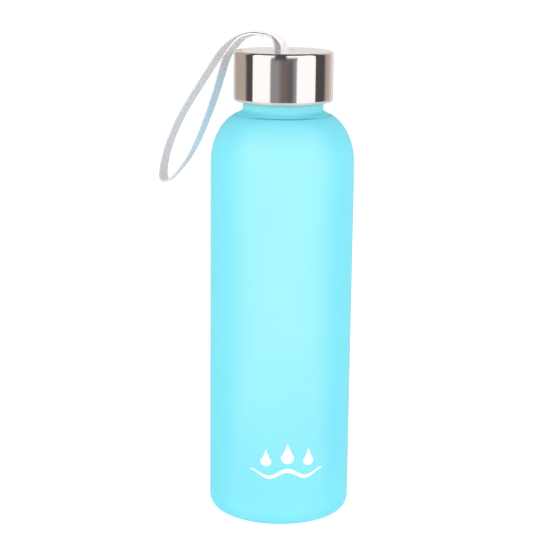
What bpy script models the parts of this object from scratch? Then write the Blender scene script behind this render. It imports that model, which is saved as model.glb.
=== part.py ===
"""Glass water bottle with a steel screw lid and a woven wrist strap.

The bottle stands on the XY plane with its axis on +Z.  Sizes are in metres.
The lid turns and rises on the neck's screw thread; the strap rides on the lid.
"""
from math import acos, cos, degrees, pi, radians, sin, sqrt

import bmesh
import bpy
from mathutils import Matrix, Vector

# Bottle
BODY_RADIUS = 0.0325
GLASS_WALL = 0.0025
SHOULDER_FOOT_Z = 0.1623
SHOULDER_RISE = 0.0220
NECK_HEIGHT = 0.0199
NECK_RADIUS = 0.01815
BASE_CORNER_WIDTH = 0.0038
BASE_CORNER_HEIGHT = 0.0050
FOOT_RING_WIDTH = 0.0030
PUSH_UP_HEIGHT = 0.0028
FLOOR_THICKNESS = 0.0045
INNER_CORNER_RADIUS = 0.0060
GROOVE_DEPTH = 0.0004
GROOVE_HEIGHT = 0.0010
LIP_ROUND = 0.0008

# Screw thread of the neck: one right-hand start
THREAD_LEAD = 0.00423
THREAD_ROOT_DEPTH = 0.00055
THREAD_HEIGHT = 0.00115
THREAD_BASE_WIDTH = 0.0021
THREAD_CREST_WIDTH = 0.0009
THREAD_TURNS = 1.25
THREAD_FADE_TURNS = 0.12
THREAD_DROP = 0.0026
THREAD_EMBED = 0.0003
LINER_THREAD_TURNS = 1.2
LINER_THREAD_START_TURN = -0.1

# Lid
LID_RADIUS = 0.02225
LID_SKIRT = 0.0137
STEEL_THICKNESS = 0.0005
LID_CORNER_RADIUS = 0.0012
HEM_RADIUS = 0.00065
STRAP_HOLE_RADIUS = 0.0053
LINER_DISC = 0.0015
LINER_RING_WIDTH = 0.0045
STOP_ROOM = 0.0040
GASKET_THICKNESS = 0.0017
GASKET_WIDTH = 0.0050
GASKET_ROUND = 0.0003

# Strap and the stop that holds its ends under the steel
STRAP_WIDTH = 0.0055
STRAP_THICKNESS = 0.0010
STRAP_HEADING = radians(138)
STOP_RADIUS = 0.0070
STOP_THICKNESS = 0.0020
STRAND_SPACING = 0.0043
STRAND_OFFSET = 0.00165

# Clearances
GAP = 0.0003
THREAD_CLEARANCE = 0.00035

SEGMENTS = 48
THREAD_STEPS = 40
ARC_STEPS = 5
SHOULDER_STEPS = 10
MERGE = 0.00001

# Heights that follow from the sizes above
NECK_FOOT_Z = SHOULDER_FOOT_Z + SHOULDER_RISE
RIM_Z = NECK_FOOT_Z + NECK_HEIGHT
THREAD_ROOT_RADIUS = NECK_RADIUS - THREAD_ROOT_DEPTH
THREAD_CREST_RADIUS = THREAD_ROOT_RADIUS + THREAD_HEIGHT
NECK_BORE_RADIUS = THREAD_ROOT_RADIUS - GLASS_WALL
LINER_BORE_RADIUS = THREAD_CREST_RADIUS + THREAD_CLEARANCE
LINER_RADIUS = LID_RADIUS - STEEL_THICKNESS - GAP
GASKET_BOTTOM_Z = RIM_Z + GAP
GASKET_TOP_Z = GASKET_BOTTOM_Z + GASKET_THICKNESS
DISC_BOTTOM_Z = GASKET_TOP_Z + GAP
DISC_TOP_Z = DISC_BOTTOM_Z + LINER_DISC
LINER_TOP_Z = DISC_TOP_Z + STOP_ROOM
STEEL_BOTTOM_Z = LINER_TOP_Z + GAP
LID_TOP_Z = STEEL_BOTTOM_Z + STEEL_THICKNESS
LID_BOTTOM_Z = RIM_Z - LID_SKIRT
HEM_TOP_Z = LID_BOTTOM_Z + 2 * HEM_RADIUS
LINER_BOTTOM_Z = HEM_TOP_Z + GAP
STOP_TOP_Z = STEEL_BOTTOM_Z - GAP
STOP_BOTTOM_Z = STOP_TOP_Z - STOP_THICKNESS
BOSS_RADIUS = STRAP_HOLE_RADIUS - GAP
BOSS_TOP_Z = LID_TOP_Z - GAP
THREAD_TOP_Z = RIM_Z - THREAD_DROP
THREAD_START_Z = THREAD_TOP_Z - THREAD_LEAD * THREAD_TURNS

# The strap's route from one end to the other, as distance out from the axis and
# height over the lid's top, in metres.  It leaves the stop, comes up through the
# steel, arches over the rim, hangs in a loop and comes back below itself.
STRAP_ROUTE = [
    (-0.0005, -0.0042), (-0.0005, -0.0022), (-0.0005, -0.0004), (-0.0003, 0.0019),
    (0.0015, 0.0043), (0.0051, 0.0063), (0.0111, 0.0074), (0.0179, 0.0074),
    (0.0247, 0.0060), (0.0315, 0.0030), (0.0380, -0.0020), (0.0436, -0.0083),
    (0.0493, -0.0149), (0.0547, -0.0214), (0.0600, -0.0278), (0.0651, -0.0344),
    (0.0697, -0.0415), (0.0738, -0.0490), (0.0768, -0.0565), (0.0782, -0.0624),
    (0.0781, -0.0662), (0.0753, -0.0675), (0.0716, -0.0654), (0.0673, -0.0617),
    (0.0621, -0.0565), (0.0571, -0.0500), (0.0527, -0.0428), (0.0487, -0.0353),
    (0.0449, -0.0277), (0.0416, -0.0202), (0.0387, -0.0130), (0.0352, -0.0050),
    (0.0306, 0.0000), (0.0253, 0.0043), (0.0190, 0.0061), (0.0124, 0.0063),
    (0.0064, 0.0055), (0.0041, 0.0030), (0.0038, -0.0003), (0.0038, -0.0042),
]
ROUTE_POINTS_PER_SPAN = 2

PARTS = bpy.data.collections.new("glass_water_bottle")
CUTTERS = bpy.data.collections.new("glass_water_bottle_cutters")


def clear_scene():
    for obj in list(bpy.data.objects):
        bpy.data.objects.remove(obj, do_unlink=True)
    bpy.context.scene.collection.children.link(PARTS)
    bpy.context.scene.collection.children.link(CUTTERS)


def material(name, colour, roughness, metallic=0.0, transmission=0.0):
    mat = bpy.data.materials.new(name)
    mat.use_nodes = True
    shader = mat.node_tree.nodes["Principled BSDF"]
    shader.inputs["Base Color"].default_value = (*colour, 1.0)
    shader.inputs["Roughness"].default_value = roughness
    shader.inputs["Metallic"].default_value = metallic
    shader.inputs["Transmission Weight"].default_value = transmission
    mat.diffuse_color = (*colour, 1.0)
    return mat


def add_part(name, mesh, mat):
    obj = bpy.data.objects.new(name, mesh)
    mesh.materials.append(mat)
    PARTS.objects.link(obj)
    return obj


def add_guide(name, mesh):
    """A helper solid that another part is cut by or joined with."""
    obj = bpy.data.objects.new(name, mesh)
    CUTTERS.objects.link(obj)
    obj.hide_render = True
    obj.display_type = "WIRE"
    return obj


def arc(centre, radius_r, radius_z, start, end, steps=ARC_STEPS):
    """Points on an ellipse in the profile plane, from start to end in degrees."""
    points = []
    for i in range(steps + 1):
        turn = radians(start + (end - start) * i / steps)
        points.append((centre[0] + radius_r * cos(turn), centre[1] + radius_z * sin(turn)))
    return points


def profile_mesh(name, points, closed):
    """The outline that a Screw modifier turns about Z, as a chain of edges."""
    mesh = bpy.data.meshes.new(name)
    bm = bmesh.new()
    verts = [bm.verts.new((r, 0.0, z)) for r, z in points]
    for first, second in zip(verts, verts[1:]):
        bm.edges.new((first, second))
    if closed:
        bm.edges.new((verts[-1], verts[0]))
    bm.to_mesh(mesh)
    bm.free()
    return mesh


def turn(obj, segments=SEGMENTS):
    screw = obj.modifiers.new("turned", "SCREW")
    screw.axis = "Z"
    screw.angle = 2 * pi
    screw.steps = segments
    screw.render_steps = segments
    screw.use_merge_vertices = True
    screw.merge_threshold = MERGE
    screw.use_smooth_shade = True
    return obj


def boolean(obj, other, operation):
    mod = obj.modifiers.new(operation.lower(), "BOOLEAN")
    mod.operation = operation
    mod.solver = "EXACT"
    mod.object = other
    return mod


def thread_ridge(name, wall_radius, crest_radius, start_z, start_turn, turns):
    """A helical ridge from a wall to its crest, fading into the wall at both ends."""
    mesh = bpy.data.meshes.new(name)
    bm = bmesh.new()
    count = int(THREAD_STEPS * turns)
    outward = 1 if crest_radius > wall_radius else -1
    buried = wall_radius - outward * THREAD_EMBED
    rings = []
    for i in range(count + 1):
        along = turns * i / count
        fade = min(along, turns - along, THREAD_FADE_TURNS) / THREAD_FADE_TURNS
        crest = wall_radius + (crest_radius - wall_radius) * (0.05 + 0.95 * sqrt(fade))
        angle = 2 * pi * (start_turn + along)
        z = start_z + THREAD_LEAD * (start_turn + along)
        section = [
            (buried, -THREAD_BASE_WIDTH / 2),
            (crest, -THREAD_CREST_WIDTH / 2),
            (crest, THREAD_CREST_WIDTH / 2),
            (buried, THREAD_BASE_WIDTH / 2),
        ]
        rings.append([bm.verts.new((r * cos(angle), r * sin(angle), z + dz)) for r, dz in section])
    for ring, following in zip(rings, rings[1:]):
        for k in range(4):
            bm.faces.new((ring[k], ring[(k + 1) % 4], following[(k + 1) % 4], following[k]))
    bm.faces.new(rings[0])
    bm.faces.new(list(reversed(rings[-1])))
    bmesh.ops.recalc_face_normals(bm, faces=bm.faces[:])
    bmesh.ops.triangulate(bm, faces=bm.faces[:])
    bm.to_mesh(mesh)
    bm.free()
    return add_guide(name, mesh)


def glass_bottle():
    inner_radius = BODY_RADIUS - GLASS_WALL
    inner_foot_z = SHOULDER_FOOT_Z
    inner_rise = SHOULDER_RISE - GLASS_WALL / 2
    ring_outer = BODY_RADIUS - BASE_CORNER_WIDTH
    ring_inner = ring_outer - FOOT_RING_WIDTH
    push_edge = ring_inner - PUSH_UP_HEIGHT
    thread_low_z = LINER_BOTTOM_Z + GAP
    step = NECK_RADIUS - THREAD_ROOT_RADIUS
    groove_z = NECK_FOOT_Z + GROOVE_HEIGHT

    inside = [(0.0, FLOOR_THICKNESS)]
    floor_corner = (inner_radius - INNER_CORNER_RADIUS, FLOOR_THICKNESS + INNER_CORNER_RADIUS)
    inside += arc(floor_corner, INNER_CORNER_RADIUS, INNER_CORNER_RADIUS, -90, 0)
    inside += arc(
        (NECK_BORE_RADIUS, inner_foot_z), inner_radius - NECK_BORE_RADIUS, inner_rise, 0, 90, SHOULDER_STEPS
    )
    lip = arc((NECK_BORE_RADIUS + LIP_ROUND, RIM_Z - LIP_ROUND), LIP_ROUND, LIP_ROUND, 180, 90, 3)
    lip += arc((THREAD_ROOT_RADIUS - LIP_ROUND, RIM_Z - LIP_ROUND), LIP_ROUND, LIP_ROUND, 90, 0, 3)
    outside = [
        (THREAD_ROOT_RADIUS, thread_low_z),
        (NECK_RADIUS, thread_low_z - step),
        (NECK_RADIUS, groove_z),
        (NECK_RADIUS - GROOVE_DEPTH, NECK_FOOT_Z + GROOVE_HEIGHT / 3),
    ]
    outside += arc(
        (NECK_RADIUS, SHOULDER_FOOT_Z), BODY_RADIUS - NECK_RADIUS, SHOULDER_RISE, 90, 0, SHOULDER_STEPS
    )
    outside += arc((ring_outer, BASE_CORNER_HEIGHT), BASE_CORNER_WIDTH, BASE_CORNER_HEIGHT, 0, -90)
    outside += [(ring_inner, 0.0), (push_edge, PUSH_UP_HEIGHT * 0.7), (0.0, PUSH_UP_HEIGHT)]

    frosted_glass = material("frosted_glass", (0.28, 0.83, 0.93), 0.45, transmission=0.3)
    mesh = profile_mesh("glass_bottle", inside + lip + outside, closed=False)
    obj = turn(add_part("glass_bottle", mesh, frosted_glass))
    ridge = thread_ridge(
        "neck_thread", THREAD_ROOT_RADIUS, THREAD_CREST_RADIUS, THREAD_START_Z, 0.0, THREAD_TURNS
    )
    boolean(obj, ridge, "UNION")
    return obj


def lid_shell():
    inner = LID_RADIUS - STEEL_THICKNESS
    corner = (LID_RADIUS - LID_CORNER_RADIUS, LID_TOP_Z - LID_CORNER_RADIUS)
    inner_corner = LID_CORNER_RADIUS - STEEL_THICKNESS
    hem = (LID_RADIUS - HEM_RADIUS, LID_BOTTOM_Z + HEM_RADIUS)
    points = [(STRAP_HOLE_RADIUS, STEEL_BOTTOM_Z), (STRAP_HOLE_RADIUS, LID_TOP_Z)]
    points += arc(corner, LID_CORNER_RADIUS, LID_CORNER_RADIUS, 90, 0)
    points += arc(hem, HEM_RADIUS, HEM_RADIUS, 0, -180, 8)
    points += [(hem[0] - HEM_RADIUS, HEM_TOP_Z), (inner, HEM_TOP_Z)]
    points += arc(corner, inner_corner, inner_corner, 0, 90)
    steel = material("polished_steel", (0.72, 0.70, 0.69), 0.12, metallic=1.0)
    return turn(add_part("lid_shell", profile_mesh("lid_shell", points, closed=True), steel))


def lid_liner():
    """The moulded cap inside the steel: disc over the mouth, threaded skirt."""
    edge = 0.0004
    room_radius = LINER_RADIUS - LINER_RING_WIDTH
    # The steel's top corner is rounded inside, so the liner's corner is cut back to clear it.
    corner_cut = LID_CORNER_RADIUS - STEEL_THICKNESS
    points = [
        (0.0, DISC_TOP_Z),
        (room_radius, DISC_TOP_Z),
        (room_radius, LINER_TOP_Z),
        (LINER_RADIUS - corner_cut, LINER_TOP_Z),
        (LINER_RADIUS, LINER_TOP_Z - corner_cut),
        (LINER_RADIUS, LINER_BOTTOM_Z),
        (LINER_BORE_RADIUS + edge, LINER_BOTTOM_Z),
        (LINER_BORE_RADIUS, LINER_BOTTOM_Z + edge),
        (LINER_BORE_RADIUS, DISC_BOTTOM_Z),
        (0.0, DISC_BOTTOM_Z),
    ]
    moulded = material("moulded_white", (0.86, 0.87, 0.88), 0.35)
    obj = turn(add_part("lid_liner", profile_mesh("lid_liner", points, closed=False), moulded))
    # The two ridges meet with a clearance on the flank that carries the lid's pull.
    flank = (THREAD_BASE_WIDTH + THREAD_CREST_WIDTH) / 2
    start_z = THREAD_START_Z - flank - THREAD_CLEARANCE
    # The ridge starts at its chosen turn, or further up where a steep lead would carry
    # its foot below the liner.
    lowest_turn = (LINER_BOTTOM_Z + GAP + THREAD_BASE_WIDTH / 2 - start_z) / THREAD_LEAD
    start_turn = max(LINER_THREAD_START_TURN, lowest_turn)
    ridge = thread_ridge(
        "liner_thread",
        LINER_BORE_RADIUS,
        LINER_BORE_RADIUS - THREAD_HEIGHT,
        start_z,
        start_turn,
        LINER_THREAD_START_TURN + LINER_THREAD_TURNS - start_turn,
    )
    boolean(obj, ridge, "UNION")
    return obj


def gasket():
    outer = LINER_BORE_RADIUS - GAP
    inner = outer - GASKET_WIDTH
    low = GASKET_BOTTOM_Z
    high = GASKET_TOP_Z
    soft = GASKET_ROUND
    points = [
        (inner, high - soft), (inner + soft, high), (outer - soft, high), (outer, high - soft),
        (outer, low + soft), (outer - soft, low), (inner + soft, low), (inner, low + soft),
    ]
    silicone = material("silicone", (0.90, 0.92, 0.92), 0.5)
    return turn(add_part("gasket", profile_mesh("gasket", points, closed=True), silicone))


def strap_plane():
    """Axes of the upright plane that the strap lies in: out from the lid, up, across the tape."""
    out = Vector((cos(STRAP_HEADING), sin(STRAP_HEADING), 0.0))
    up = Vector((0.0, 0.0, 1.0))
    across = out.cross(up)
    turned = Matrix((out, up, across)).transposed().to_4x4()
    return Matrix.Translation((0.0, 0.0, LID_TOP_Z)) @ turned


def smooth_route(points, per_span):
    """A Catmull-Rom curve through the route's points."""
    result = []
    for i in range(len(points) - 1):
        before = Vector(points[max(i - 1, 0)])
        here = Vector(points[i])
        after = Vector(points[i + 1])
        beyond = Vector(points[min(i + 2, len(points) - 1)])
        for k in range(per_span):
            t = k / per_span
            result.append(
                0.5 * (2 * here + (after - before) * t
                       + (2 * before - 5 * here + 4 * after - beyond) * t ** 2
                       + (3 * here - before - 3 * after + beyond) * t ** 3)
            )
    result.append(Vector(points[-1]))
    return result


def wrist_strap():
    curve = bpy.data.curves.new("strap_line", "CURVE")
    curve.dimensions = "2D"
    curve.fill_mode = "NONE"
    curve.extrude = STRAP_WIDTH / 2
    route = smooth_route(STRAP_ROUTE, ROUTE_POINTS_PER_SPAN)
    spline = curve.splines.new("POLY")
    spline.points.add(len(route) - 1)
    for point, place in zip(spline.points, route):
        point.co = (place.x, place.y, 0.0, 1.0)
    line = bpy.data.objects.new("strap_line", curve)
    CUTTERS.objects.link(line)
    line.matrix_world = strap_plane()
    bpy.context.view_layer.update()
    mesh = bpy.data.meshes.new_from_object(line.evaluated_get(bpy.context.evaluated_depsgraph_get()))
    mesh.name = "wrist_strap"
    bm = bmesh.new()
    bm.from_mesh(mesh)
    bmesh.ops.remove_doubles(bm, verts=bm.verts[:], dist=MERGE)
    bm.to_mesh(mesh)
    bm.free()
    mesh.materials.clear()
    woven = material("woven_tape", (0.62, 0.61, 0.64), 0.85)
    obj = add_part("wrist_strap", mesh, woven)
    obj.matrix_world = line.matrix_world.copy()
    bpy.data.objects.remove(line, do_unlink=True)
    solid = obj.modifiers.new("tape", "SOLIDIFY")
    solid.thickness = STRAP_THICKNESS
    solid.offset = 0.0
    return obj


def strap_stop():
    """A slotted disc wider than the steel's hole, which holds the tape's two ends.

    A low boss on the disc fills the hole on the near side of the outer strand.
    """
    mesh = bpy.data.meshes.new("strap_stop")
    bm = bmesh.new()
    place = Matrix.Translation((0.0, 0.0, (STOP_TOP_Z + STOP_BOTTOM_Z) / 2))
    bmesh.ops.create_cone(
        bm, cap_ends=True, segments=SEGMENTS // 2, radius1=STOP_RADIUS, radius2=STOP_RADIUS,
        depth=STOP_THICKNESS, matrix=place,
    )
    bm.to_mesh(mesh)
    bm.free()
    moulded = material("moulded_white", (0.86, 0.87, 0.88), 0.35)
    obj = add_part("strap_stop", mesh, moulded)
    boolean(obj, stop_boss(), "UNION")
    plane = strap_plane()
    for side in (-1, 1):
        slot_mesh = bpy.data.meshes.new("stop_slot")
        bm = bmesh.new()
        size = (STRAP_THICKNESS + 2 * GAP, 3 * (BOSS_TOP_Z - STOP_BOTTOM_Z), STRAP_WIDTH + 2 * GAP)
        bmesh.ops.create_cube(bm, size=1.0, matrix=Matrix.Diagonal((*size, 1.0)))
        out = STRAND_OFFSET + side * STRAND_SPACING / 2
        middle = (STOP_TOP_Z + STOP_BOTTOM_Z) / 2 - LID_TOP_Z
        bm.transform(plane @ Matrix.Translation((out, middle, 0.0)))
        bm.to_mesh(slot_mesh)
        bm.free()
        boolean(obj, add_guide("stop_slot", slot_mesh), "DIFFERENCE")
    return obj


def stop_boss():
    """The part of a round boss that lies on the near side of the outer strand's slot."""
    slot_face = STRAND_OFFSET + STRAND_SPACING / 2 - STRAP_THICKNESS / 2 - GAP
    flat = min(slot_face - GAP / 2, BOSS_RADIUS * 0.95)
    corner = degrees(acos(flat / BOSS_RADIUS))
    foot = STOP_TOP_Z - STOP_THICKNESS / 4 - LID_TOP_Z
    top = BOSS_TOP_Z - LID_TOP_Z
    mesh = bpy.data.meshes.new("stop_boss")
    bm = bmesh.new()
    outline = arc((0.0, 0.0), BOSS_RADIUS, BOSS_RADIUS, corner, 360 - corner, SEGMENTS // 2)
    low = [bm.verts.new((out, foot, across)) for out, across in outline]
    high = [bm.verts.new((out, top, across)) for out, across in outline]
    bm.faces.new(low)
    bm.faces.new(high)
    for k in range(len(low)):
        following = (k + 1) % len(low)
        bm.faces.new((low[k], low[following], high[following], high[k]))
    bmesh.ops.recalc_face_normals(bm, faces=bm.faces[:])
    bm.transform(strap_plane())
    bm.to_mesh(mesh)
    bm.free()
    return add_guide("stop_boss", mesh)


clear_scene()
glass_bottle()
lid_shell()
lid_liner()
gasket()
wrist_strap()
strap_stop()
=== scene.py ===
from math import cos, pi, radians, sin, sqrt

import bmesh
import bpy
from mathutils import Matrix, Vector


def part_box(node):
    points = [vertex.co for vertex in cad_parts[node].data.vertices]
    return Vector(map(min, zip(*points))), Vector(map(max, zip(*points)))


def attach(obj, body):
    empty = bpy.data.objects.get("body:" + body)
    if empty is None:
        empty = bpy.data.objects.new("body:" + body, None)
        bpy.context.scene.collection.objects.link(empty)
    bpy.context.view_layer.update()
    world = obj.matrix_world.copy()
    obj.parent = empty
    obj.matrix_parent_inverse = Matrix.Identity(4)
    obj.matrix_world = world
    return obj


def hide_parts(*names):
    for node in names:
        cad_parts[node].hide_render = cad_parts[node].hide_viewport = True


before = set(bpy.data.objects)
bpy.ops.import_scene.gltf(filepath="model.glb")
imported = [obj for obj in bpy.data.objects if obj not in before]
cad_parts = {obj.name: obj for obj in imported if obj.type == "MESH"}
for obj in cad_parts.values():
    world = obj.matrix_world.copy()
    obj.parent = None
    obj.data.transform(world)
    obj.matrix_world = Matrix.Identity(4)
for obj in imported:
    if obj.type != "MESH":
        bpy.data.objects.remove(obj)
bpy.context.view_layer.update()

# Sizes read from the frame, in metres
bottle_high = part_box("glass_bottle")[1]
shell_low, shell_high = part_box("lid_shell")
liner_low, liner_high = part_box("lid_liner")
gasket_low, gasket_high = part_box("gasket")
stop_low, stop_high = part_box("strap_stop")
BODY_RADIUS = bottle_high.x
RIM_Z = bottle_high.z
LID_RADIUS = shell_high.x
LID_TOP_Z = shell_high.z
LID_BOTTOM_Z = shell_low.z
LINER_RADIUS = liner_high.x
LINER_TOP_Z = liner_high.z
LINER_BOTTOM_Z = liner_low.z
GASKET_RADIUS = gasket_high.x

# Room left between neighbouring pieces
GAP = 0.0003

# Glass
GLASS_WALL = 0.0025
SHOULDER_FOOT_Z = 0.1623
SHOULDER_RISE = 0.0220
NECK_FOOT_Z = SHOULDER_FOOT_Z + SHOULDER_RISE
NECK_RADIUS = 0.01815
SHOULDER_CENTRE = 0.0160
THREAD_ROOT_RADIUS = 0.0176
THREAD_CREST_RADIUS = 0.01875
NECK_BORE_RADIUS = THREAD_ROOT_RADIUS - GLASS_WALL
BASE_CORNER_WIDTH = 0.0038
BASE_CORNER_HEIGHT = 0.0050
FOOT_RING_WIDTH = 0.0030
PUSH_UP_HEIGHT = 0.0028
FLOOR_THICKNESS = 0.0045
INNER_CORNER_RADIUS = 0.0060
LIP_ROUND = 0.0011
COLLAR_FLARE = 0.0024
COLLAR_CURVE = 0.0014
SHOULDER_TOP_ANGLE = 69
# Reach of the painted shade round the groove under the neck
GROOVE_SHADE_WIDTH = 0.0007
GROOVE_SHADE_HEIGHT = 0.0004

# Printed mark, low on the front
MARK_WIDTH = 0.0340
MARK_MIDDLE_Z = 0.0305
MARK_TURN = 6.9
INK_THICKNESS = 0.00006
INK_SUNK = 0.00002
WAVE_HEIGHT = 0.0016
WAVE_DROP = 0.0052
# Each drop's place across, its foot over the mark's middle and its height
DROPS = [(-0.0098, -0.0016, 0.0082), (0.0, -0.0004, 0.0100), (0.0098, -0.0016, 0.0082)]

# Screw thread, right hand, one start
THREAD_LEAD = 0.00423
THREAD_BASE_WIDTH = 0.0021
THREAD_CREST_WIDTH = 0.0009
THREAD_SUNK = 0.0003
THREAD_TURNS = 1.25
THREAD_TOP_Z = RIM_Z - 0.0026
THREAD_START_Z = THREAD_TOP_Z - THREAD_LEAD * THREAD_TURNS
THREAD_CLEARANCE = 0.00035
LINER_THREAD_TURNS = 1.2
LINER_THREAD_START_TURN = -0.1
LINER_BORE_RADIUS = THREAD_CREST_RADIUS + THREAD_CLEARANCE
LINER_THREAD_HEIGHT = 0.00115
LINER_DISC = 0.0015
LINER_RIM_WIDTH = 0.0045
GASKET_WIDTH = 0.0050

# Lid
STEEL = 0.0005
LID_CORNER_RADIUS = 0.0012
HEM_RADIUS = 0.00065
HEM_HEIGHT = 0.0014
HEM_TUCK = 0.0003
STRAP_HOLE_RADIUS = 0.0053
STRAND_SPACING = 0.0043
STRAND_OFFSET = 0.00165
STOP_EDGE = 0.00035
BOSS_EDGE = 0.0002
BOSS_GAP = 0.0001
BOSS_FOOT = 0.0012
BOSS_FLAT_GAP = 0.00045

# Strap
STRAP_WIDTH = 0.0055
STRAP_THICKNESS = 0.0010
STRAP_HEADING = radians(138)
TAPE_EDGE = 0.00042
TAPE_STEP = 0.00016
TAPE_ROUND = 40
WEAVE_RELIEF = 0.00018
WEAVE_RIB = 0.00092
WEAVE_COLUMN = 0.00135
WEAVE_REPEAT = 0.02
# The route from one end to the other, as distance out from the axis and height over the
# lid's top
STRAP_ROUTE = [
    (-0.0005, -0.0042), (-0.0005, -0.0022), (-0.0005, -0.0004), (-0.0003, 0.0019),
    (0.0015, 0.0043), (0.0051, 0.0063), (0.0111, 0.0074), (0.0179, 0.0074),
    (0.0247, 0.0060), (0.0315, 0.0030), (0.0380, -0.0020), (0.0436, -0.0083),
    (0.0493, -0.0149), (0.0547, -0.0214), (0.0600, -0.0278), (0.0651, -0.0344),
    (0.0697, -0.0415), (0.0738, -0.0490), (0.0768, -0.0565), (0.0782, -0.0624),
    (0.0781, -0.0662), (0.0753, -0.0675), (0.0716, -0.0654), (0.0673, -0.0617),
    (0.0621, -0.0565), (0.0571, -0.0500), (0.0527, -0.0428), (0.0487, -0.0353),
    (0.0449, -0.0277), (0.0416, -0.0202), (0.0387, -0.0130), (0.0352, -0.0050),
    (0.0306, 0.0000), (0.0253, 0.0043), (0.0190, 0.0061), (0.0124, 0.0063),
    (0.0064, 0.0055), (0.0041, 0.0030), (0.0038, -0.0003), (0.0038, -0.0042),
]
# How far the tape leans about its own run at some of the route's points, in degrees
STRAP_LEAN = [(0, -8), (4, -7), (8, -3), (12, -3), (16, 1), (18, 1), (20, -7), (22, -15),
              (24, -15), (28, -2), (32, 3), (39, 3)]
LEAN_SCALE = 0.0001

STEPS_ROUND = 160
MERGE = 1e-6

# Camera: place, lens in millimetres, and how it is turned
CAMERA_PLACE = (0.0, -0.67847, 0.26498)
CAMERA_LENS = 99.32
CAMERA_DOWN = radians(12.817)
CAMERA_ASIDE = 0.0048
CAMERA_LEAN = 0.01096

# Panels that only the gloss sees: a tall ring round the bottle
ROOM_RADIUS = 1.6
ROOM_DEPTH = 4.2
ROOM_MIDDLE_Z = -0.02

# What the steel mirrors, as tones of the room from bright to dark (0 to 255 display values,
# with the softboxes a little over white)
SOFTBOX = (273, 268, 268)
PALE_WALL = (234, 228, 226)
WARM_WALL = (186, 168, 156)
GREY = (150, 146, 148)
BROWN = (122, 107, 106)
SHADE = (104, 98, 101)
DARK = (82, 77, 79)

# Panels round the room as (from, to, tone), in degrees from the front, left to right. The
# tone runs smoothly across the gap to the next panel.
LOW_PANELS = [
    (-180, -171, DARK), (-166, -155, PALE_WALL), (-142, -100, WARM_WALL), (-91, -76, DARK),
    (-73, -32, SOFTBOX), (-28, -14, GREY), (-2, 6, BROWN), (11, 20, SHADE), (25, 29, GREY),
    (32, 77, SOFTBOX), (80, 106, DARK), (118, 124, WARM_WALL), (152, 164, PALE_WALL),
    (169, 180, DARK),
]
HIGH_PANELS = [
    (-180, -158, PALE_WALL), (-146, -100, WARM_WALL), (-94, -76, DARK), (-73, -30, SOFTBOX),
    (-27, 30, DARK), (34, 77, SOFTBOX), (80, 105, DARK), (118, 124, WARM_WALL),
    (152, 180, PALE_WALL),
]
TOP_PANELS = [
    (-180, -158, PALE_WALL), (-146, -100, WARM_WALL), (-94, -76, DARK), (-73, -24, SOFTBOX),
    (-18, 4, DARK), (10, 76, SOFTBOX), (79, 105, DARK), (118, 124, WARM_WALL),
    (152, 180, PALE_WALL),
]


# ---------------------------------------------------------------- shader helpers

def new_material(name):
    mat = bpy.data.materials.new(name)
    mat.use_nodes = True
    nodes = mat.node_tree.nodes
    return mat, nodes, mat.node_tree.links, nodes["Principled BSDF"]


def from_srgb(red, green, blue):
    """A colour given in 0 to 255 display values, as the linear colour that shaders use."""
    def linear(value):
        share = value / 255
        return share / 12.92 if share <= 0.04045 else ((share + 0.055) / 1.055) ** 2.4
    return (linear(red), linear(green), linear(blue), 1.0)


def noise(nodes, links, scale, detail=2.0):
    """Cloudy values from 0 to 1 that stay with the piece."""
    coords = nodes.new("ShaderNodeTexCoord")
    cloud = nodes.new("ShaderNodeTexNoise")
    cloud.inputs["Scale"].default_value = scale
    cloud.inputs["Detail"].default_value = detail
    links.new(coords.outputs["Object"], cloud.inputs["Vector"])
    return cloud.outputs["Fac"]


def height_of(nodes, links, space="Object"):
    coords = nodes.new("ShaderNodeTexCoord")
    parts = nodes.new("ShaderNodeSeparateXYZ")
    links.new(coords.outputs[space], parts.inputs["Vector"])
    return parts.outputs["Z"]


def carried(nodes, name):
    """A value that the piece's mesh carries."""
    attribute = nodes.new("ShaderNodeAttribute")
    attribute.attribute_name = name
    return attribute.outputs["Fac"]


def ranged(nodes, links, value, low=0.0, high=1.0, to_low=0.0, to_high=1.0, smooth=False):
    """The value moved from the range low to high into the range to_low to to_high."""
    step = nodes.new("ShaderNodeMapRange")
    step.interpolation_type = "SMOOTHSTEP" if smooth else "LINEAR"
    step.inputs["From Min"].default_value = low
    step.inputs["From Max"].default_value = high
    step.inputs["To Min"].default_value = to_low
    step.inputs["To Max"].default_value = to_high
    links.new(value, step.inputs["Value"])
    return step.outputs["Result"]


def two_tones(nodes, links, value, low, first, high, second):
    ramp = nodes.new("ShaderNodeValToRGB")
    for element, place, tone in zip(ramp.color_ramp.elements, (low, high), (first, second)):
        element.position = place
        element.color = tone
    links.new(value, ramp.inputs["Fac"])
    return ramp.outputs["Color"]


def mixed(nodes, links, share, first, second, blend="MIX"):
    """Mixes two colours, each a fixed one or another node's output."""
    mix = nodes.new("ShaderNodeMix")
    mix.data_type = "RGBA"
    mix.blend_type = blend
    links.new(share, mix.inputs["Factor"])
    for name, colour in (("A", first), ("B", second)):
        if isinstance(colour, tuple):
            mix.inputs[name].default_value = colour
        else:
            links.new(colour, mix.inputs[name])
    return mix.outputs["Result"]


def bumped(nodes, links, shader, height, strength, depth):
    bump = nodes.new("ShaderNodeBump")
    bump.inputs["Strength"].default_value = strength
    bump.inputs["Distance"].default_value = depth
    links.new(height, bump.inputs["Height"])
    links.new(bump.outputs["Normal"], shader.inputs["Normal"])


# ---------------------------------------------------------------- camera and studio

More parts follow.
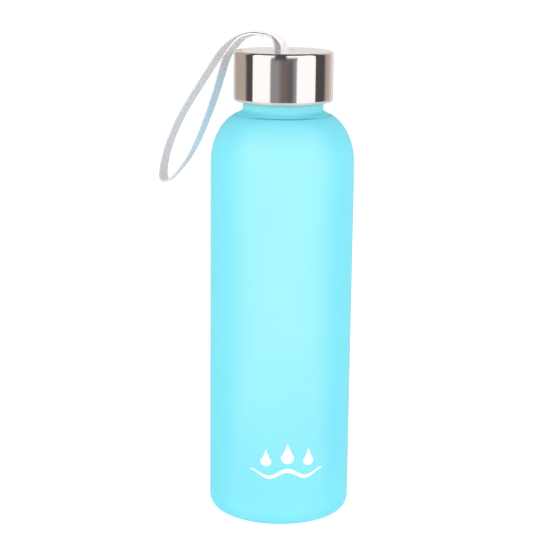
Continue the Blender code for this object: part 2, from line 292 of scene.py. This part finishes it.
def camera():
    """A long lens a little above the lid, aimed at the middle of the bottle."""
    data = bpy.data.cameras.new("camera")
    data.sensor_width = 36.0
    data.lens = CAMERA_LENS
    data.clip_start = 0.05
    data.clip_end = 60.0
    cam = bpy.data.objects.new("camera", data)
    bpy.context.scene.collection.objects.link(cam)
    turn = Matrix.Rotation(CAMERA_ASIDE, 4, "Z") @ Matrix.Rotation(pi / 2 - CAMERA_DOWN, 4, "X")
    turn = turn @ Matrix.Rotation(CAMERA_LEAN, 4, "Z")
    cam.matrix_world = Matrix.Translation(CAMERA_PLACE) @ turn
    bpy.context.scene.camera = cam


def studio():
    scene = bpy.context.scene
    scene.view_settings.view_transform = "Standard"
    world = bpy.data.worlds.new("soft_daylight")
    world.use_nodes = True
    nodes, links = world.node_tree.nodes, world.node_tree.links
    # brightest at the level of the table and dimmer overhead
    fade = ranged(nodes, links, height_of(nodes, links, "Generated"), to_low=1.12, to_high=0.55)
    links.new(fade, nodes["Background"].inputs["Strength"])
    nodes["Background"].inputs["Color"].default_value = (1.0, 1.0, 1.0, 1.0)
    scene.world = world

    def softbox(name, place, target, size, power):
        data = bpy.data.lights.new(name, "AREA")
        data.shape = "RECTANGLE"
        data.size, data.size_y = size
        data.energy = power
        obj = bpy.data.objects.new(name, data)
        scene.collection.objects.link(obj)
        obj.location = place
        obj.rotation_euler = (Vector(target) - Vector(place)).to_track_quat("-Z", "Y").to_euler()
        obj.visible_glossy = False

    softbox("softbox_left", (-1.0, -0.8, 0.7), (0, 0, 0.12), (0.7, 0.9), 8.0)
    softbox("softbox_right", (1.0, -0.8, 0.7), (0, 0, 0.12), (0.7, 0.9), 8.0)

    # floor
    deselect()
    bpy.ops.mesh.primitive_plane_add(size=30.0, location=(0, 0, 0))
    floor = bpy.context.object
    floor.name = "floor"
    mat, nodes, links, shader = new_material("pale_floor")
    shader.inputs["Base Color"].default_value = (0.40, 0.40, 0.40, 1.0)
    shader.inputs["Roughness"].default_value = 0.9
    shader.inputs["Specular IOR Level"].default_value = 0.0
    # the table glows a little, so that it stays white far off and under the bottle
    shader.inputs["Emission Color"].default_value = (1.0, 1.0, 1.0, 1.0)
    shader.inputs["Emission Strength"].default_value = 0.80
    floor.data.materials.append(mat)
    floor.visible_glossy = False

    # two tall white softboxes, the dark gaps beside them, the grey room between them, the
    # walls behind and a dark ceiling; the ring's lower end is open
    deselect()
    bpy.ops.mesh.primitive_cylinder_add(vertices=128, radius=ROOM_RADIUS, depth=ROOM_DEPTH,
                                        end_fill_type="NGON", location=(0, 0, ROOM_MIDDLE_Z))
    ring = bpy.context.object
    ring.name = "studio_panels"
    bpy.ops.object.transform_apply(location=True, rotation=False, scale=False)
    bpy.ops.object.mode_set(mode="EDIT")
    bpy.ops.mesh.select_all(action="DESELECT")
    bpy.ops.object.mode_set(mode="OBJECT")
    for face in ring.data.polygons:
        face.select = face.normal.z < -0.9
    bpy.ops.object.mode_set(mode="EDIT")
    bpy.ops.mesh.delete(type="ONLY_FACE")
    bpy.ops.object.mode_set(mode="OBJECT")
    ring.data.materials.append(panel_glow())
    for visible in ("visible_camera", "visible_diffuse", "visible_shadow", "visible_transmission"):
        setattr(ring, visible, False)


def panel_glow():
    """The room's tones by direction, in three bands of height, and a dark ceiling."""
    mat = bpy.data.materials.new("studio_panels")
    mat.use_nodes = True
    nodes, links = mat.node_tree.nodes, mat.node_tree.links
    nodes.clear()
    coords = nodes.new("ShaderNodeTexCoord")
    mapping = nodes.new("ShaderNodeMapping")
    mapping.inputs["Rotation"].default_value = (0.0, 0.0, pi / 2)
    gradient = nodes.new("ShaderNodeTexGradient")
    gradient.gradient_type = "RADIAL"
    links.new(coords.outputs["Object"], mapping.inputs["Vector"])
    links.new(mapping.outputs["Vector"], gradient.inputs["Vector"])

    def bands(panels):
        ramp = nodes.new("ShaderNodeValToRGB")
        elements = ramp.color_ramp.elements
        elements.remove(elements[-1])
        stops = [(angle, tone) for start, end, tone in panels for angle in (start, end)]
        for k, (angle, tone) in enumerate(stops):
            element = elements[0] if k == 0 else elements.new((angle + 180) / 360)
            element.position = (angle + 180) / 360
            element.color = from_srgb(*tone)
        links.new(gradient.outputs["Color"], ramp.inputs["Fac"])
        return ramp.outputs["Color"]

    height = height_of(nodes, links)
    colour = bands(LOW_PANELS)
    for low, high, upper in ((0.0775, 0.0795, bands(HIGH_PANELS)), (0.0815, 0.0825, bands(TOP_PANELS)),
                             (1.75, 1.95, from_srgb(*DARK))):
        colour = mixed(nodes, links, ranged(nodes, links, height, low, high), colour, upper)
    glow = nodes.new("ShaderNodeEmission")
    out = nodes.new("ShaderNodeOutputMaterial")
    links.new(colour, glow.inputs["Color"])
    links.new(glow.outputs["Emission"], out.inputs["Surface"])
    return mat


# ---------------------------------------------------------------- modelling helpers

def deselect():
    if bpy.context.object and bpy.context.object.mode != "OBJECT":
        bpy.ops.object.mode_set(mode="OBJECT")
    bpy.ops.object.select_all(action="DESELECT")


def only(obj):
    deselect()
    obj.select_set(True)
    bpy.context.view_layer.objects.active = obj


def within(value):
    """The value held between 0 and 1."""
    return min(1.0, max(0.0, value))


def arc(centre, radius_r, radius_z, start, end, steps=8):
    points = []
    for i in range(steps + 1):
        turn = radians(start + (end - start) * i / steps)
        points.append((centre[0] + radius_r * cos(turn), centre[1] + radius_z * sin(turn)))
    return points


def turned(name, outline, closed, smooth_angle=40):
    """Draws the outline from one vertex by extruding, then spins it round Z into a solid."""
    deselect()
    start = Vector((outline[0][0], 0.0, outline[0][1]))
    bpy.ops.mesh.primitive_plane_add(size=0.001, location=start)
    piece = bpy.context.object
    piece.name = name
    piece.data.name = name
    bpy.ops.object.transform_apply(location=True, rotation=True, scale=True)
    bpy.ops.object.mode_set(mode="EDIT")
    bpy.ops.mesh.select_all(action="SELECT")
    bpy.ops.mesh.merge(type="CENTER")
    here = start
    for r, z in outline[1:] + (outline[:1] if closed else []):
        there = Vector((r, 0.0, z))
        bpy.ops.mesh.extrude_region_move(TRANSFORM_OT_translate={"value": there - here})
        here = there
    bpy.ops.mesh.select_all(action="SELECT")
    bpy.ops.mesh.spin(steps=STEPS_ROUND, angle=2 * pi, center=(0, 0, 0), axis=(0, 0, 1))
    bpy.ops.mesh.select_all(action="SELECT")
    bpy.ops.mesh.remove_doubles(threshold=MERGE)
    bpy.ops.mesh.normals_make_consistent(inside=False)
    bpy.ops.object.mode_set(mode="OBJECT")
    bpy.ops.object.shade_smooth_by_angle(angle=radians(smooth_angle))
    return piece


def thread_ridge(name, wall_radius, crest_radius, start_z, start_turn, turns):
    """A helical ridge with a rounded crest that fades into its wall at both ends."""
    steps = int(120 * turns)
    fade_turns = 0.12
    outward = 1 if crest_radius > wall_radius else -1
    buried = wall_radius - outward * THREAD_SUNK
    mesh = bpy.data.meshes.new(name)
    bm = bmesh.new()
    rings = []
    for i in range(steps + 1):
        along = turns * i / steps
        fade = min(along, turns - along, fade_turns) / fade_turns
        rise = 0.03 + 0.97 * sqrt(sin(fade * pi / 2))
        crest = wall_radius + (crest_radius - wall_radius) * rise
        angle = 2 * pi * (start_turn + along)
        z = start_z + THREAD_LEAD * (start_turn + along)
        shoulder = crest - (crest - wall_radius) * 0.18
        section = [
            (buried, -THREAD_BASE_WIDTH / 2),
            (shoulder, -THREAD_CREST_WIDTH * 0.62),
            (crest, -THREAD_CREST_WIDTH * 0.3),
            (crest, THREAD_CREST_WIDTH * 0.3),
            (shoulder, THREAD_CREST_WIDTH * 0.62),
            (buried, THREAD_BASE_WIDTH / 2),
        ]
        rings.append([bm.verts.new((r * cos(angle), r * sin(angle), z + dz)) for r, dz in section])
    for ring, following in zip(rings, rings[1:]):
        for k in range(6):
            bm.faces.new((ring[k], ring[(k + 1) % 6], following[(k + 1) % 6], following[k]))
    bm.faces.new(rings[0])
    bm.faces.new(list(reversed(rings[-1])))
    bmesh.ops.recalc_face_normals(bm, faces=bm.faces[:])
    bm.to_mesh(mesh)
    bm.free()
    ridge = bpy.data.objects.new(name, mesh)
    bpy.context.scene.collection.objects.link(ridge)
    return ridge


def join_solid(piece, other, operation="UNION"):
    """Joins or cuts piece with other, which is then gone."""
    only(piece)
    mod = piece.modifiers.new("join", "BOOLEAN")
    mod.operation = operation
    mod.solver = "EXACT"
    mod.object = other
    bpy.ops.object.modifier_apply(modifier=mod.name)
    bpy.data.objects.remove(other, do_unlink=True)
    bpy.ops.object.shade_smooth_by_angle(angle=radians(40))
    return piece


# ---------------------------------------------------------------- pieces

def make_bottle():
    inner = BODY_RADIUS - GLASS_WALL
    ring_outer = BODY_RADIUS - BASE_CORNER_WIDTH
    ring_inner = ring_outer - FOOT_RING_WIDTH
    outline = [(0.0, FLOOR_THICKNESS)]
    outline += arc((inner - INNER_CORNER_RADIUS, FLOOR_THICKNESS + INNER_CORNER_RADIUS),
                   INNER_CORNER_RADIUS, INNER_CORNER_RADIUS, -90, 0, 10)
    outline += arc((NECK_BORE_RADIUS, SHOULDER_FOOT_Z), inner - NECK_BORE_RADIUS,
                   SHOULDER_RISE - GLASS_WALL / 2, 0, 82, 22)
    outline += arc((NECK_BORE_RADIUS + 0.002, NECK_FOOT_Z + 0.0010), 0.002, 0.002, 240, 180, 4)
    lip_z = RIM_Z - LIP_ROUND
    outline += arc((NECK_BORE_RADIUS + LIP_ROUND, lip_z), LIP_ROUND, LIP_ROUND, 180, 90, 6)
    outline += arc((THREAD_ROOT_RADIUS - LIP_ROUND, lip_z), LIP_ROUND, LIP_ROUND, 90, 0, 6)
    step_z = LINER_BOTTOM_Z + GAP
    outline += [(THREAD_ROOT_RADIUS, step_z + 0.0002)]
    outline += [(THREAD_ROOT_RADIUS + 0.0001, step_z), (NECK_RADIUS - 0.0001, step_z - 0.0005),
                (NECK_RADIUS, step_z - 0.0007)]
    # The neck flares into a collar, and a fine groove parts its edge from the shoulder.
    foot = NECK_FOOT_Z
    collar = NECK_RADIUS + COLLAR_FLARE
    outline += [(NECK_RADIUS, foot + 0.0031)]
    outline += arc((NECK_RADIUS + COLLAR_CURVE, foot + 2 * COLLAR_CURVE), COLLAR_CURVE,
                   COLLAR_CURVE, 180, 245, 7)
    outline += [(collar - 0.0007, foot + 0.0010), (collar - 0.0002, foot + 0.0007)]
    outline += arc((collar, foot + 0.0002), 0.0003, 0.0004, 65, -25, 6)
    outline += [(collar + 0.0004, foot - 0.0001), (collar + 0.0006, foot - 0.00012),
                (collar + 0.0008, foot - 0.00008), (collar + 0.0010, foot - 0.00002)]
    outline += arc((SHOULDER_CENTRE, SHOULDER_FOOT_Z), BODY_RADIUS - SHOULDER_CENTRE,
                   NECK_FOOT_Z + 0.0016 - SHOULDER_FOOT_Z, SHOULDER_TOP_ANGLE, 0, 30)
    outline += arc((ring_outer, BASE_CORNER_HEIGHT), BASE_CORNER_WIDTH, BASE_CORNER_HEIGHT,
                   0, -90, 12)
    outline += [(ring_inner, 0.0), (ring_inner - 0.0005, 0.0002)]
    outline += arc((0.0, 0.0003), ring_inner - 0.0009, PUSH_UP_HEIGHT - 0.0003, 6, 90, 14)
    bottle = turned("bottle_glass", outline, closed=False)
    ridge = thread_ridge("neck_thread", THREAD_ROOT_RADIUS, THREAD_CREST_RADIUS, THREAD_START_Z,
                         0.0, THREAD_TURNS)
    join_solid(bottle, ridge)
    # painted shade darkens the groove under the neck, and fades out towards the mould's side seams
    groove_painted_shade = bottle.data.attributes.new("groove_painted_shade", "FLOAT", "POINT")
    for vertex in bottle.data.vertices:
        r = sqrt(vertex.co.x ** 2 + vertex.co.y ** 2)
        across = (r - collar - 0.0004) / GROOVE_SHADE_WIDTH
        along = (vertex.co.z - foot) / GROOVE_SHADE_HEIGHT
        away = sqrt(across ** 2 + along ** 2)
        facing = within((abs(vertex.co.y) / max(r, 0.001) - 0.62) / 0.25)
        groove_painted_shade.data[vertex.index].value = max(0.0, 1.0 - away ** 2 / 2.2) * facing
    return bottle


def make_shell():
    inner = LID_RADIUS - STEEL
    corner = (LID_RADIUS - LID_CORNER_RADIUS, LID_TOP_Z - LID_CORNER_RADIUS)
    inside = LID_CORNER_RADIUS - STEEL
    hem = (LID_RADIUS - HEM_RADIUS, LID_BOTTOM_Z + HEM_RADIUS)
    fold = (hem[0], LID_BOTTOM_Z + HEM_HEIGHT)
    roll = STEEL / 2
    outline = arc((STRAP_HOLE_RADIUS + roll, LID_TOP_Z - roll), roll, roll, 270, 90, 8)
    outline += [(STRAP_HOLE_RADIUS + roll + 0.0002, LID_TOP_Z)]
    outline += [(LID_RADIUS - LID_CORNER_RADIUS - 0.0002, LID_TOP_Z)]
    outline += arc(corner, LID_CORNER_RADIUS, LID_CORNER_RADIUS, 90, 0, 14)
    outline += [(LID_RADIUS, corner[1] - 0.0002), (LID_RADIUS, fold[1] + 0.0002)]
    outline += arc(fold, HEM_RADIUS, HEM_HEIGHT, 0, -90, 16)
    outline += arc(hem, HEM_RADIUS, HEM_RADIUS, -100, -180, 8)
    outline += arc((hem[0], hem[1] + HEM_TUCK), HEM_RADIUS, HEM_TUCK + HEM_RADIUS / 2, 180, 100, 5)
    outline += [(inner, hem[1] + HEM_RADIUS)]
    outline += arc(corner, inside, inside, 0, 90, 8)
    shell = turned("lid_steel_shell", outline, closed=True, smooth_angle=50)
    # where the hem turns under it is left dull, and painted shade makes it darker grey
    hem_finish_and_shade = shell.data.attributes.new("hem", "FLOAT", "POINT")
    for vertex in shell.data.vertices:
        hem_finish_and_shade.data[vertex.index].value = within((fold[1] - 0.0001 - vertex.co.z) / 0.0002)
    return shell


def make_liner():
    disc_bottom = gasket_high.z + GAP
    disc_top = disc_bottom + LINER_DISC
    room = LINER_RADIUS - LINER_RIM_WIDTH
    cut = LID_CORNER_RADIUS - STEEL
    soft = 0.0003
    lead_in = 0.0005
    recess = 0.0004
    outline = [(0.0, disc_top)]
    outline += arc((room - soft, disc_top + soft), soft, soft, -90, 0, 4)
    outline += arc((room + soft, LINER_TOP_Z - soft), soft, soft, 180, 90, 4)
    outline += [(LINER_RADIUS - cut, LINER_TOP_Z), (LINER_RADIUS, LINER_TOP_Z - cut)]
    outline += arc((LINER_RADIUS - soft, LINER_BOTTOM_Z + soft), soft, soft, 0, -90, 4)
    outline += arc((LINER_BORE_RADIUS + lead_in, LINER_BOTTOM_Z + lead_in), lead_in, lead_in,
                   -90, -180, 4)
    outline += arc((LINER_BORE_RADIUS - recess, disc_bottom - recess), recess, recess, 0, 90, 4)
    outline += [(0.0, disc_bottom)]
    liner = turned("lid_inner_cap", outline, closed=False)
    flank = (THREAD_BASE_WIDTH + THREAD_CREST_WIDTH) / 2
    ridge = thread_ridge("liner_thread", LINER_BORE_RADIUS, LINER_BORE_RADIUS - LINER_THREAD_HEIGHT,
                         THREAD_START_Z - flank - THREAD_CLEARANCE, LINER_THREAD_START_TURN,
                         LINER_THREAD_TURNS)
    return join_solid(liner, ridge)


def make_gasket():
    outer, inner = GASKET_RADIUS, GASKET_RADIUS - GASKET_WIDTH
    low, high = gasket_low.z, gasket_high.z
    soft = 0.00045
    outline = arc((inner + soft, high - soft), soft, soft, 180, 90, 5)
    outline += arc((outer - soft, high - soft), soft, soft, 90, 0, 5)
    outline += arc((outer - soft, low + soft), soft, soft, 0, -90, 5)
    outline += arc((inner + soft, low + soft), soft, soft, -90, -180, 5)
    return turned("seal_ring", outline, closed=True)


def strap_axes():
    """The strap's own directions: out from the lid, up, and across the tape."""
    out = Vector((cos(STRAP_HEADING), sin(STRAP_HEADING), 0.0))
    return out, Vector((0.0, 0.0, 1.0)), out.cross(Vector((0.0, 0.0, 1.0)))


def smooth_route(points, per_span):
    """A smooth curve through all the points."""
    result = []
    for i in range(len(points) - 1):
        before = Vector(points[max(i - 1, 0)])
        here = Vector(points[i])
        after = Vector(points[i + 1])
        beyond = Vector(points[min(i + 2, len(points) - 1)])
        for k in range(per_span):
            t = k / per_span
            result.append(0.5 * (2 * here + (after - before) * t
                                 + (2 * before - 5 * here + 4 * after - beyond) * t ** 2
                                 + (3 * here - before - 3 * after + beyond) * t ** 3))
    result.append(Vector(points[-1]))
    return result


def evenly(points, spacing):
    """The same line with points at an even spacing."""
    result = [points[0]]
    left = spacing
    for a, b in zip(points, points[1:]):
        length = (b - a).xy.length
        gone = 0.0
        while length - gone >= left:
            gone += left
            result.append(a + (b - a) * (gone / length))
            left = spacing
        left -= length - gone
    return result


def lean_at(place):
    """The tape's lean in radians, scaled down so that it mixes with lengths in metres."""
    for (k, lean), (k_next, lean_next) in zip(STRAP_LEAN, STRAP_LEAN[1:]):
        if place <= k_next:
            return radians(lean + (lean_next - lean) * (place - k) / (k_next - k)) * LEAN_SCALE
    return 0.0


def weave_height(along, across):
    """0 in the grooves to 1 on the ribs of a herringbone weave."""
    zigzag = abs((across / WEAVE_COLUMN) % 2.0 - 1.0) * WEAVE_COLUMN
    return abs(sin(pi * (along + zigzag) / WEAVE_RIB)) ** 0.7


def tape_section():
    """The tape's section as (across, lift, edge's way across, edge's way up), walked over the
    upper face, round one edge, back under and round the other."""
    section = []
    flat_run = STRAP_WIDTH - 2 * TAPE_EDGE
    per_face = 16
    per_edge = (TAPE_ROUND - 2 * per_face) // 2
    for side in (1, -1):
        for k in range(per_face):
            section.append((side * (flat_run * k / (per_face - 1) - flat_run / 2), side, 0.0, side))
        for k in range(per_edge):
            turn = side * pi / 2 - pi * (k + 1) / (per_edge + 1)
            section.append((side * flat_run / 2 + TAPE_EDGE * cos(turn), sin(turn), cos(turn),
                            sin(turn)))
    return section


def make_strap():
    out, up, across = strap_axes()
    leaned = [(x, y, lean_at(k)) for k, (x, y) in enumerate(STRAP_ROUTE)]
    line = evenly(smooth_route(leaned, 24), TAPE_STEP)
    origin = Vector((0.0, 0.0, LID_TOP_Z))
    centres = [origin + out * p.x + up * p.y for p in line]
    section = tape_section()
    mesh = bpy.data.meshes.new("strap_tape")
    bm = bmesh.new()
    # the weave's height, which the tape's colour turns into painted shade in the grooves
    weave_layer = bm.verts.layers.float.new("weave_painted_shade")
    # how much painted bounce light from the glass tints the tape
    bounce_layer = bm.verts.layers.float.new("glass_painted_bounce")
    uv_layer = bm.loops.layers.uv.new("tape")
    rings = []
    count = len(centres)
    for i, centre in enumerate(centres):
        ahead = (centres[min(i + 1, count - 1)] - centres[max(i - 1, 0)]).normalized()
        face_flat = across.cross(ahead).normalized()
        lean = line[i].z / LEAN_SCALE
        side_way = across * cos(lean) + face_flat * sin(lean)
        face_up = face_flat * cos(lean) - across * sin(lean)
        along = i * TAPE_STEP
        # painted light: the returning strand hangs near the glass and is tinted aqua as painted bounce
        # light from it
        painted_bounce = 0.0
        if i > count / 2:
            painted_bounce = within((0.062 - line[i].x) / 0.010) * within((-0.008 - line[i].y) / 0.008)
        ring = []
        for side, lift, edge_across, edge_up in section:
            height = weave_height(along, side + 0.1)
            direction = (side_way * edge_across + face_up * edge_up).normalized()
            skin = centre + side_way * side + face_up * (STRAP_THICKNESS / 2 * lift)
            vert = bm.verts.new(skin + direction * (WEAVE_RELIEF * (height - 1.0)))
            vert[weave_layer] = height
            vert[bounce_layer] = painted_bounce
            ring.append(vert)
        rings.append(ring)
    size = len(section)
    for i in range(count - 1):
        for k in range(size):
            face = bm.faces.new((rings[i][k], rings[i + 1][k], rings[i + 1][(k + 1) % size],
                                 rings[i][(k + 1) % size]))
            corners = ((i, k), (i + 1, k), (i + 1, k + 1), (i, k + 1))
            for loop, (row, column) in zip(face.loops, corners):
                loop[uv_layer].uv = (column / size, row * TAPE_STEP / WEAVE_REPEAT)
    bm.faces.new(rings[0])
    bm.faces.new(list(reversed(rings[-1])))
    bmesh.ops.recalc_face_normals(bm, faces=bm.faces[:])
    for face in bm.faces:
        face.smooth = True
    bm.to_mesh(mesh)
    bm.free()
    strap = bpy.data.objects.new("strap_tape", mesh)
    bpy.context.scene.collection.objects.link(strap)
    return strap, centres


def disc(name, radius, low, high):
    deselect()
    bpy.ops.mesh.primitive_cylinder_add(vertices=96, radius=radius, depth=high - low,
                                        location=(0, 0, low + (high - low) / 2))
    piece = bpy.context.object
    piece.name = name
    bpy.ops.object.transform_apply(location=True, rotation=True, scale=True)
    return piece


def round_edges(piece, width):
    bevel = piece.modifiers.new("edges", "BEVEL")
    bevel.width = width
    bevel.segments = 3
    bevel.limit_method = "ANGLE"
    bpy.ops.object.modifier_apply(modifier=bevel.name)


def make_stop():
    deselect()
    disc_top = shell_high.z - STEEL - GAP
    middle = (stop_low.z + disc_top) / 2
    stop = disc("strap_end_stop", stop_high.x, stop_low.z, disc_top)
    round_edges(stop, STOP_EDGE)
    join_solid(stop, stop_boss())
    out, up, across = strap_axes()
    turned_to = Matrix((out, across, up)).transposed().to_4x4()
    for side in (-1, 1):
        deselect()
        bpy.ops.mesh.primitive_cube_add(size=1.0)
        cutter = bpy.context.object
        cutter.scale = (STRAP_THICKNESS + 2 * GAP, STRAP_WIDTH + 2 * GAP, 0.01)
        bpy.ops.object.transform_apply(location=False, rotation=False, scale=True)
        slot = Matrix.Translation((STRAND_OFFSET + side * STRAND_SPACING / 2, 0, 0))
        cutter.data.transform(Matrix.Translation((0, 0, middle)) @ turned_to @ slot)
        join_solid(stop, cutter, "DIFFERENCE")
    return stop


def printed_mark():
    """A wave with three drops over it, printed low on the front of the glass."""
    mesh = bpy.data.meshes.new("printed_mark")
    bm = bmesh.new()
    middle_turn = -pi / 2 + radians(MARK_TURN)

    def place(across, up, radius):
        turn = middle_turn + across / BODY_RADIUS
        return Vector((radius * cos(turn), radius * sin(turn), MARK_MIDDLE_Z + up))

    def solid(columns):
        """A closed skin of ink over a strip given as (across, low, high) columns."""
        inner = BODY_RADIUS - INK_SUNK
        outer = BODY_RADIUS + INK_THICKNESS
        rings = []
        for across, low, high in columns:
            corners = ((low, outer), (high, outer), (high, inner), (low, inner))
            rings.append([bm.verts.new(place(across, up, radius)) for up, radius in corners])
        for ring, following in zip(rings, rings[1:]):
            for k in range(4):
                bm.faces.new((ring[k], ring[(k + 1) % 4], following[(k + 1) % 4], following[k]))
        bm.faces.new(rings[0])
        bm.faces.new(list(reversed(rings[-1])))

    steps = 72
    columns = []
    for i in range(steps + 1):
        share = i / steps
        across = (share - 0.5) * MARK_WIDTH
        crest = WAVE_HEIGHT * cos(share * 4 * pi) - WAVE_DROP
        half = 0.00025 + 0.0007 * sin(share * pi)
        columns.append((across, crest - half, crest + half))
    solid(columns)
    for middle, foot, size in DROPS:
        radius = size * 0.30
        columns = []
        for i in range(33):
            side = -cos(pi * i / 32) * 0.999
            round_part = radius * sqrt(1 - side ** 2)
            point = (size - radius) * (1 - abs(side)) ** 1.35
            columns.append((middle + side * radius, foot + radius - round_part,
                            foot + radius + max(round_part * 0.6, point)))
        solid(columns)
    bmesh.ops.recalc_face_normals(bm, faces=bm.faces[:])
    bm.to_mesh(mesh)
    bm.free()
    mark = bpy.data.objects.new("printed_mark", mesh)
    bpy.context.scene.collection.objects.link(mark)
    return mark


def stop_boss():
    """The low boss that fills the steel's hole on the near side of the outer strand."""
    flat = STRAND_OFFSET + STRAND_SPACING / 2 - STRAP_THICKNESS / 2 - BOSS_FLAT_GAP
    boss = disc("stop_boss", STRAP_HOLE_RADIUS - BOSS_GAP, stop_high.z - BOSS_FOOT,
                LID_TOP_Z - BOSS_GAP)
    out, up, across = strap_axes()
    bpy.ops.object.mode_set(mode="EDIT")
    bpy.ops.mesh.select_all(action="SELECT")
    bpy.ops.mesh.bisect(plane_co=out * flat, plane_no=out, use_fill=True, clear_outer=True)
    bpy.ops.object.mode_set(mode="OBJECT")
    round_edges(boss, BOSS_EDGE)
    return boss


# ---------------------------------------------------------------- materials

def frosted_glass():
    mat, nodes, links, shader = new_material("frosted_aqua_glass")
    shader.inputs["Roughness"].default_value = 0.42
    shader.inputs["IOR"].default_value = 1.45
    shader.inputs["Transmission Weight"].default_value = 0.30
    shader.inputs["Specular IOR Level"].default_value = 0.15

    def share(value, low, high, most, smooth=True):
        return ranged(nodes, links, value, low, high, to_high=most, smooth=smooth)

    def larger(first, second):
        pick = nodes.new("ShaderNodeMath")
        pick.operation = "MAXIMUM"
        links.new(first, pick.inputs[0])
        links.new(second, pick.inputs[1])
        return pick.outputs["Value"]

    # The colour is deeper where the wall turns away from view, partly from the longer path through
    # tinted glass and partly as painted shade on the round sides. It is darker towards the bottom,
    # deepest in the thick base, and painted shade darkens the shoulder towards the neck.
    facing = nodes.new("ShaderNodeLayerWeight")
    facing.inputs["Blend"].default_value = 0.5
    height = height_of(nodes, links)
    base = larger(share(height, 0.090, 0.016, 0.70, smooth=False), share(height, 0.008, 0.001, 1.0))
    # painted shade on the shoulder, deepening towards the neck
    shoulder_shade = share(height, SHOULDER_FOOT_Z + 0.006, NECK_FOOT_Z + 0.001, 0.70)
    depth = larger(share(facing.outputs["Facing"], 0.02, 0.46, 1.0), larger(base, shoulder_shade))
    colour = two_tones(nodes, links, noise(nodes, links, 35.0, 3.0), 0.3, (0.345, 0.830, 0.895, 1.0),
                       0.7, (0.369, 0.849, 0.905, 1.0))
    colour = mixed(nodes, links, depth, colour, (0.62, 0.965, 1.04, 1.0), "MULTIPLY")
    # painted light: the neck is paler, lifting the shade that the lid's hem casts on it
    neck_painted_light = share(height, NECK_FOOT_Z + 0.0025, NECK_FOOT_Z + 0.0055, 1.0)
    colour = mixed(nodes, links, neck_painted_light, colour, (0.40, 0.98, 1.0, 1.0))
    # painted shade darkens the groove under the neck
    colour = mixed(nodes, links, carried(nodes, "groove_painted_shade"), colour, (0.26, 0.56, 0.62, 1.0), "MULTIPLY")
    links.new(colour, shader.inputs["Base Color"])
    bumped(nodes, links, shader, noise(nodes, links, 3200.0), 0.15, 0.00004)
    return mat


def polished_steel():
    mat, nodes, links, shader = new_material("polished_steel")
    hem = carried(nodes, "hem")
    # faint smears on the polish, and a satin hem painted darker grey as painted shade
    dull = nodes.new("ShaderNodeMath")
    dull.operation = "MULTIPLY_ADD"
    dull.inputs[1].default_value = 0.33
    links.new(hem, dull.inputs[0])
    smears = noise(nodes, links, 90.0, 4.0)
    links.new(ranged(nodes, links, smears, to_low=0.018, to_high=0.032), dull.inputs[2])
    links.new(dull.outputs["Value"], shader.inputs["Roughness"])
    # painted shade: the hem's base colour is a darker grey
    shade = mixed(nodes, links, hem, (0.86, 0.845, 0.835, 1.0), (0.56, 0.54, 0.56, 1.0))
    links.new(shade, shader.inputs["Base Color"])
    links.new(ranged(nodes, links, hem, to_low=1.0, to_high=0.25), shader.inputs["Metallic"])
    return mat


def mottled(name, first, second, scale, roughness, bump_depth):
    """A matt material whose tone, gloss and surface vary a little from place to place."""
    mat, nodes, links, shader = new_material(name)
    patches = noise(nodes, links, scale, 3.0)
    links.new(two_tones(nodes, links, patches, 0.3, first, 0.7, second), shader.inputs["Base Color"])
    gloss = ranged(nodes, links, patches, to_low=roughness - 0.05, to_high=roughness + 0.05)
    links.new(gloss, shader.inputs["Roughness"])
    bumped(nodes, links, shader, patches, 0.2, bump_depth)
    return mat


def moulded_white():
    mat = mottled("moulded_white", (0.77, 0.78, 0.79, 1.0), (0.83, 0.84, 0.85, 1.0), 220.0, 0.35, 0.00003)
    shader = mat.node_tree.nodes["Principled BSDF"]
    shader.inputs["Subsurface Weight"].default_value = 0.15
    shader.inputs["Subsurface Radius"].default_value = (0.002, 0.002, 0.002)
    return mat


def print_ink():
    return mottled("print_ink", (0.84, 0.86, 0.86, 1.0), (0.90, 0.91, 0.91, 1.0), 900.0, 0.50, 0.00001)


def silicone():
    return mottled("silicone", (0.82, 0.84, 0.84, 1.0), (0.89, 0.91, 0.91, 1.0), 400.0, 0.50, 0.00002)


def woven_tape():
    mat, nodes, links, shader = new_material("woven_tape")
    # painted shade: the weave's grooves are coloured near black and its ribs pale
    colour = two_tones(nodes, links, carried(nodes, "weave_painted_shade"), 0.0, (0.09, 0.084, 0.088, 1.0),
                       0.75, (0.79, 0.76, 0.78, 1.0))
    # painted light: the tape is a little paler near the lid, and tinted aqua as painted bounce light
    # where it hangs beside the glass
    lid_painted_light = ranged(nodes, links, height_of(nodes, links), LID_TOP_Z - 0.004, LID_TOP_Z + 0.006)
    colour = mixed(nodes, links, lid_painted_light, colour, (1.25, 1.25, 1.25, 1.0), "MULTIPLY")
    # painted bounce light from the glass tints the tape aqua
    painted_bounce = carried(nodes, "glass_painted_bounce")
    colour = mixed(nodes, links, painted_bounce, colour, (1.04, 1.20, 1.26, 1.0), "MULTIPLY")
    links.new(colour, shader.inputs["Base Color"])
    shader.inputs["Roughness"].default_value = 0.72
    shader.inputs["Sheen Weight"].default_value = 0.25
    shader.inputs["Sheen Roughness"].default_value = 0.5
    return mat


def finish_piece(piece, mat, body, node):
    piece.data.materials.clear()
    piece.data.materials.append(mat)
    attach(piece, body)
    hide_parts(node)


camera()
studio()
strap, strap_line = make_strap()
finish_piece(strap, woven_tape(), "lid", "wrist_strap")
finish_piece(make_bottle(), frosted_glass(), "bottle", "glass_bottle")
mark = printed_mark()
mark.data.materials.append(print_ink())
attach(mark, "bottle")
finish_piece(make_shell(), polished_steel(), "lid", "lid_shell")
finish_piece(make_liner(), moulded_white(), "lid", "lid_liner")
finish_piece(make_gasket(), silicone(), "seal", "gasket")
finish_piece(make_stop(), moulded_white(), "lid", "strap_stop")
